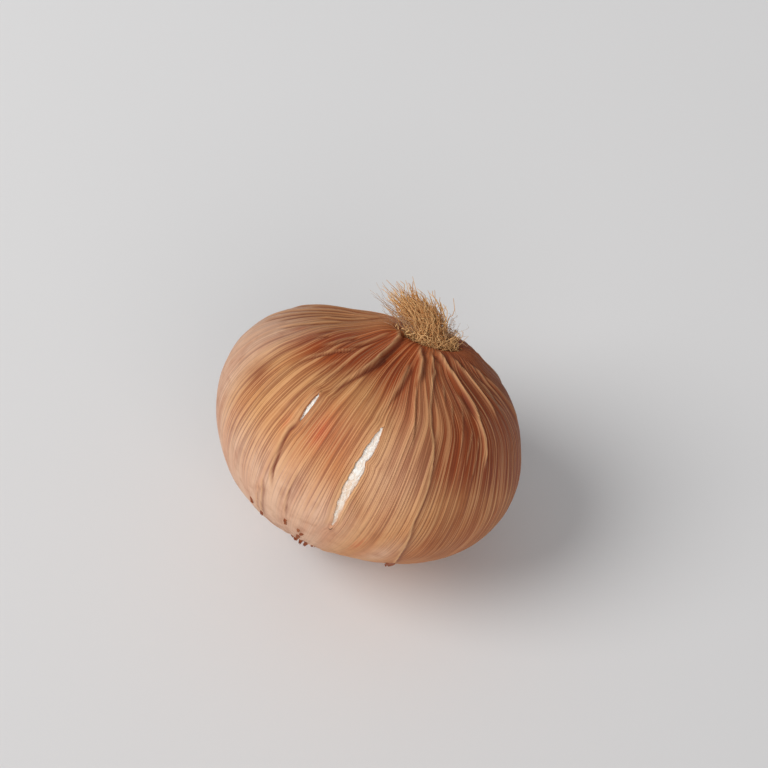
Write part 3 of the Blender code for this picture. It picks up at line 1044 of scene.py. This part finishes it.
@dataclass
class WhiteScale:
    """The moist outer scale under the skin, with its crinkled film."""

    form: BulbForm
    finish: InnerScale
    meridians: int = 480
    parallels: int = 160
    inset: float = 0.65 * MM
    crinkle: float = 0.16 * MM
    raised: float = 0.52 * MM
    sunk: float = 0.5 * MM

    def build(self) -> bpy.types.Object:
        """Make the scale.

        Returns:
            The finished piece.
        """
        mesh = fine_sphere(self.meridians // 4, self.parallels // 4)
        data = made_mesh(mesh, "white_scale")
        x, y, z = read_points(data).T
        lon, lat = np.arctan2(x, -y), np.arctan2(z, np.hypot(x, y))
        wrinkle = np.sin(lat * 150 + 2.5 * np.sin(lon * 37)) + np.sin(lat * 91 + lon * 140)
        wrinkle = wrinkle + np.sin(lon * 210 + lat * 31)
        away, rise = np.degrees(lon), np.degrees(lat)
        near = np.zeros_like(lon)
        for split in SPLITS:
            broad = np.clip(1.4 * hump(away - split.middle(rise), 2.6), 0, 1)
            near = np.maximum(near, broad * split.beside(rise, 2, -1, -1))
        plate = smoothstep(74, 80, rise)
        lift = (wrinkle / 3 * self.crinkle + self.raised) * near - self.sunk * (1 - near) - self.sunk * plate
        place_points(data, self.form.place(lon, lat, self.inset, lift))
        write_fibre(data, np.stack([np.cos(lon), np.sin(lon), lat], -1))
        write_masks(data, {"thin": 0.45 * smoothstep(7, -4, rise) + 0.05, "corky": plate})
        data.shade_smooth()
        return add_piece("white_scale", data, self.finish.dress(), ("bulb",))


@dataclass(frozen=True)
class Flake:
    """A torn end of dry skin: its root, its way in degrees from up the bulb, and its sizes in millimetres."""

    lon: float
    lat: float
    heading: float
    length: float
    width: float
    stand: float


@dataclass
class TornEnds:
    """Small brown ends of torn skin, low on the front and round the neck."""

    form: BulbForm
    finish: PaperySkin
    wall: float = 0.16 * MM
    off_skin: float = 0.12 * MM
    curl: float = 0.4
    fibre_scale: float = 12.0
    flakes: tuple[Flake, ...] = (
        Flake(29.0, -39.5, 150, 4.6, 2.4, 0.5),
        Flake(-27.6, -38.5, 190, 1.6, 0.8, 0.35),
        Flake(-28.6, -41.0, 150, 1.2, 0.7, 0.35),
        Flake(-18.0, -44.0, 200, 1.6, 0.9, 0.3),
        Flake(-21.0, -41.0, 170, 1.4, 0.7, 0.3),
        Flake(-20.0, -50.0, 180, 2.2, 1.0, 0.35),
        Flake(-46.0, -50.0, 190, 1.8, 0.9, 0.35),
        Flake(-52.0, -44.0, 160, 1.5, 0.8, 0.3),
    )
    neck_count: int = 15
    seed: int = 9

    def neck_flakes(self) -> tuple[Flake, ...]:
        """The short withered ends round the neck."""
        rng = np.random.default_rng(self.seed)
        return tuple(
            Flake(
                360 * at / self.neck_count + rng.uniform(-8, 8),
                -83.5 + rng.uniform(-1.5, 1.5),
                180 + rng.uniform(-30, 30),
                rng.uniform(1.0, 1.8),
                rng.uniform(1.2, 2.0),
                rng.uniform(0.3, 0.8),
            )
            for at in range(self.neck_count)
        )

    def lay(self, flake: Flake, grid: np.ndarray, rng: np.random.Generator) -> np.ndarray:
        """Bend a square sheet into a flake.

        Args:
            flake: the flake.
            grid: the sheet's points, from -1 to 1 both ways.
            rng: where its ragged edge comes from.
        Returns:
            The points in the world.
        """
        along = (grid[:, 1] + 1) / 2
        taper = np.sin(math.pi * (0.12 + 0.80 * along)) ** 0.7
        ragged = 1 + 0.16 * np.sin(grid[:, 0] * 5 + rng.uniform(0, 6)) * (along > 0.8)
        far = along * flake.length * MM * ragged
        across = grid[:, 0] * flake.width * MM / 2 * taper
        turn = math.radians(flake.heading)
        north = far * math.cos(turn) - across * math.sin(turn)
        east = far * math.sin(turn) + across * math.cos(turn)
        girth = self.form.girth_radius
        lat = np.radians(flake.lat) + north / (0.9 * girth)
        lon = np.radians(flake.lon) + east / (girth * np.maximum(np.cos(lat), 0.12))
        lift = flake.stand * MM * (along**1.7 + self.curl * grid[:, 0] ** 2 * along)
        return self.form.place(lon, lat, 0.0, lift + self.off_skin)

    def build(self) -> bpy.types.Object:
        """Make the torn ends.

        Returns:
            The finished piece.
        """
        rng = np.random.default_rng(self.seed + 1)
        mesh = bmesh.new()
        for flake in self.flakes + self.neck_flakes():
            sheet = bmesh.ops.create_grid(mesh, x_segments=6, y_segments=8, size=1.0)["verts"]
            grid = np.array([tuple(vert.co) for vert in sheet])
            for vert, point in zip(sheet, self.lay(flake, grid, rng)):
                vert.co = point
        bmesh.ops.solidify(mesh, geom=mesh.faces[:], thickness=self.wall)
        bmesh.ops.recalc_face_normals(mesh, faces=mesh.faces[:])
        data = made_mesh(mesh, "torn_ends")
        write_fibre(data, read_points(data) * self.fibre_scale)
        # a flat deep-brown darkening and a faint lightening of each flake's own colour, not shade or highlight
        looks = {"rust": 0.8, "brown": 0.9, "ribbed": 0.5, "crest_highlight_and_tone": 0.05, "crease_shade_and_tone": 0.3}
        write_masks(data, {name: np.full(len(data.vertices), value) for name, value in looks.items()})
        data.shade_smooth()
        return add_piece("torn_ends", data, self.finish.dress("torn_skin"), ())


# ------------------------------------------------------------------- the roots


FINE, MID, COARSE = (0.045, 0.08), (0.09, 0.15), (0.14, 0.22)
WIDE = (-60.0, 60.0)


@dataclass(frozen=True)
class Lock:
    """One kind of dry root in the tuft.

    Ranges are drawn from evenly, angles run from +X towards +Y, sizes are in millimetres, thickness is a half
    thickness, and length is a share of the brush's.
    """

    count: int
    thickness: tuple[float, float]
    length: tuple[float, float]
    foot: tuple[float, float]
    towards: tuple[float, float] = (0.0, 360.0)
    bow: tuple[float, float] = (-0.5, 1.0)
    stray: float = 1.0
    curl: float = 0.6
    turns: float = 1.0
    sweep: tuple[float, float] = (-15.0, 15.0)
    grey: float = 0.0
    light: float = 0.0


@dataclass
class RootTuft:
    """The tuft of dry roots: a dense brush, finer strays beside it and tangled ends over its foot."""

    form: BulbForm
    finish: DryRoot
    rise: float = 5.0 * MM
    tip: tuple[float, float, float] = (-0.0054, 0.0056, 0.0120)
    highest: float = 71.6 * MM
    clearance: float = 0.25 * MM
    steps: int = 10
    seed: int = 5
    locks: tuple[Lock, ...] = (
        # the brush
        Lock(640, (0.09, 0.17), (0.45, 1.0), (0.0, 4.7), stray=1.5, curl=1.2, turns=1.9),
        Lock(170, MID, (0.55, 1.0), (1.5, 4.8), (130, 250), (0.5, 3.6), 1.2, 0.7, 1.2, light=0.6),
        # fine strays to the left and right
        Lock(46, FINE, (0.55, 0.95), (3.0, 4.8), (150, 225), (3.5, 9.0), 1.4, 1.0, 1.5, grey=0.8),
        Lock(60, FINE, (0.25, 0.72), (3.2, 5.4), (-50, 50), (1.0, 4.2), 1.3, 1.5, 2.2, grey=0.7),
        # the tangle round its foot
        Lock(80, MID, (0.03, 0.18), (4.2, 6.0), (0, 360), (0.0, 0.8), 0.6, 0.7, 1.4, WIDE, light=0.2),
        Lock(120, MID, (0.03, 0.34), (4.6, 7.0), (-100, 25), (0.0, 1.8), 1.0, 1.3, 1.8, WIDE, light=0.5),
        # pale twisted ends at its left
        Lock(14, COARSE, (0.08, 0.25), (5.0, 6.6), (175, 230), (0.5, 2.0), 0.8, 1.0, 1.6, (-30, 30), light=1.0),
    )

    def spine(self, share: np.ndarray) -> np.ndarray:
        """The middle of the brush at shares of its length."""
        plate, upward = self.form.plate()
        foot = plate + upward * 0.3 * MM
        bend, tip = foot + upward * self.rise, foot + np.array(self.tip)
        share = share[:, None]
        return foot * (1 - share) ** 2 + 2 * bend * share * (1 - share) + tip * share**2

    def strand(self, lock: Lock, rng: np.random.Generator) -> np.ndarray:
        """Lay out one root.

        Args:
            lock: its kind.
            rng: where its chances come from.
        Returns:
            Points along it.
        """
        plate, upward = self.form.plate()
        right = np.cross((0, 1, 0), upward)
        right /= np.linalg.norm(right)
        back = np.cross(upward, right)
        share = np.linspace(0, 1, self.steps)
        angle = np.radians(rng.uniform(*lock.towards) + rng.uniform(*lock.sweep) * share)[:, None]
        outward = np.cos(angle) * right + np.sin(angle) * back
        near, far = lock.foot
        out = math.sqrt(rng.uniform((near / far) ** 2, 1.0))
        along = share * rng.uniform(*lock.length) * (1.0 - 0.16 * out**2)
        width = (far * out * (1 - 0.30 * along) + rng.uniform(*lock.bow) * share**1.5) * MM
        path = self.spine(along) + outward * width[:, None]
        path = path + rng.normal(0, 1, 3) * lock.stray * MM * (share**1.4)[:, None]
        for axis in (right, back, upward):
            turn = rng.uniform(0, math.tau) + lock.turns * rng.uniform(0.5, 1.5) * math.tau * share
            wave = lock.curl * MM * rng.uniform(0.2, 1.0) * share**0.7 * (np.sin(turn) - np.sin(turn[0]))
            path = path + axis * wave[:, None]
        under = (path - plate) @ upward
        path = path + upward * np.maximum(self.clearance - under, 0)[:, None]
        over = max(float(path[:, 2].max()) - self.highest, 0.0)
        path[:, 2] -= over * share
        return path

    def strands(self) -> tuple[list[np.ndarray], list[tuple[float, float, float]]]:
        """Lay out every root.

        Returns:
            For each root its points, and its half thickness, tint and greyness.
        """
        rng = np.random.default_rng(self.seed)
        paths, looks = [], []
        for lock in self.locks:
            for _ in range(lock.count):
                paths.append(self.strand(lock, rng))
                tint = rng.random() * (1 - lock.light)
                looks.append((rng.uniform(*lock.thickness) * MM, tint, lock.grey * rng.uniform(0.4, 1.0)))
        return paths, looks

    def build(self) -> bpy.types.Object:
        """Make the tuft.

        Returns:
            The finished piece.
        """
        paths, looks = self.strands()
        curve = bpy.data.curves.new("root_fibres", "CURVE")
        curve.dimensions = "3D"
        curve.bevel_depth = 1.0
        curve.bevel_resolution = 0
        for path, (thickness, _, _) in zip(paths, looks):
            spline = curve.splines.new("POLY")
            spline.points.add(len(path) - 1)
            flat = np.concatenate([path, np.ones((len(path), 1))], axis=1)
            spline.points.foreach_set("co", flat.astype(np.float32).ravel())
            taper = thickness * (1 - 0.55 * np.linspace(0, 1, len(path)) ** 2)
            spline.points.foreach_set("radius", taper.astype(np.float32))
        holder = bpy.data.objects.new("root_fibres_curve", curve)
        bpy.context.scene.collection.objects.link(holder)
        shaped = holder.evaluated_get(bpy.context.evaluated_depsgraph_get())
        mesh = bmesh.new()
        tubes = bpy.data.meshes.new_from_object(shaped)
        mesh.from_mesh(tubes)
        bmesh.ops.holes_fill(mesh, edges=mesh.edges[:], sides=4)
        bmesh.ops.recalc_face_normals(mesh, faces=mesh.faces[:])
        data = made_mesh(mesh, "root_fibres")
        bpy.data.meshes.remove(tubes)
        bpy.data.objects.remove(holder)
        each = len(data.vertices) // len(paths)
        ring = each // self.steps
        height = np.tile(np.repeat(np.linspace(0, 1, self.steps), ring), len(paths))
        tint = np.repeat([look[1] for look in looks], each)
        grey = np.repeat([look[2] for look in looks], each) * (0.3 + 0.7 * height)
        write_masks(data, {"tint": tint, "grey": grey, "foot": 0.45 * (1 - smoothstep(0.0, 0.35, height))})
        data.shade_smooth()
        return add_piece("root_fibres", data, self.finish.dress(), ("root_tuft",))


# -------------------------------------------------------------------- the stage


@dataclass(frozen=True)
class Studio:
    """A pale table, a broad soft light from the left, a weaker one in front, a dim sky and the camera."""

    table_size: float = 3.0
    eye: tuple[float, float, float] = (0.00173, -0.33398, 0.38142)
    pitch: float = math.radians(45)
    lens: float = 60.0
    sensor: float = 24.0
    sky: Colour = (0.93, 0.96, 1.0)
    sky_strength: float = 0.31
    key_at: tuple[float, float, float] = (-1.20, -0.44, 1.40)
    key_size: float = 1.3
    key_power: float = 24.0
    fill_at: tuple[float, float, float] = (0.20, -1.50, 0.75)
    fill_size: float = 1.4
    fill_power: float = 10.0

    def build(self, finish: PaleTable) -> None:
        """Make the table, lights and camera.

        Args:
            finish: the table's.
        """
        mesh = bmesh.new()
        bmesh.ops.create_grid(mesh, x_segments=8, y_segments=8, size=self.table_size)
        data = made_mesh(mesh, "table")
        data.materials.append(finish.dress())
        table = bpy.data.objects.new("table", data)
        bpy.context.scene.collection.objects.link(table)
        self._lights()
        camera = bpy.data.cameras.new("camera")
        camera.lens, camera.sensor_width = self.lens, self.sensor
        camera.clip_start, camera.clip_end = 0.01, 20.0
        eye = bpy.data.objects.new("camera", camera)
        eye.location, eye.rotation_euler = self.eye, (self.pitch, 0, 0)
        bpy.context.scene.collection.objects.link(eye)
        bpy.context.scene.camera = eye
        bpy.context.scene.view_settings.view_transform = "Standard"

    def _lights(self) -> None:
        """Add the two soft lights and the sky."""
        lamps = (
            ("key", self.key_at, self.key_size, self.key_power),
            ("fill", self.fill_at, self.fill_size, self.fill_power),
        )
        for name, place, size, power in lamps:
            lamp = bpy.data.lights.new(name, "AREA")
            lamp.shape, lamp.size, lamp.energy = "DISK", size, power
            light = bpy.data.objects.new(name, lamp)
            light.location = place
            light.rotation_euler = (Vector((0, 0, 0.03)) - Vector(place)).to_track_quat("-Z", "Y").to_euler()
            bpy.context.scene.collection.objects.link(light)
        world = bpy.data.worlds.new("sky")
        world.use_nodes = True
        back = world.node_tree.nodes["Background"]
        back.inputs["Color"].default_value = (*self.sky, 1.0)
        back.inputs["Strength"].default_value = self.sky_strength
        bpy.context.scene.world = world


def add_piece(
    name: str, data: bpy.types.Mesh, finish: bpy.types.Material, nodes: tuple[str, ...]
) -> bpy.types.Object:
    """Link a finished piece, put it under the root body and hide the CAD nodes that it stands for.

    Args:
        name: the piece's name.
        data: its mesh, already in its place.
        finish: its material.
        nodes: the CAD nodes that it stands for, if any.
    Returns:
        The piece.
    """
    data.materials.append(finish)
    piece = bpy.data.objects.new(name, data)
    bpy.context.scene.collection.objects.link(piece)
    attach(piece, "root")
    if nodes:
        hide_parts(*nodes)
    LOG.info("%s: %d vertices", name, len(data.vertices))
    return piece


def main() -> None:
    """Build the onion and its stage."""
    logging.basicConfig(level=logging.INFO, format="%(name)s: %(message)s")
    form, grain = BulbForm(), Grain()
    Studio().build(PaleTable())
    WhiteScale(form, InnerScale()).build()
    DrySkin(form, grain, PaperySkin()).build()
    TornEnds(form, PaperySkin()).build()
    RootTuft(form, DryRoot()).build()


if __name__ == "__main__":
    main()
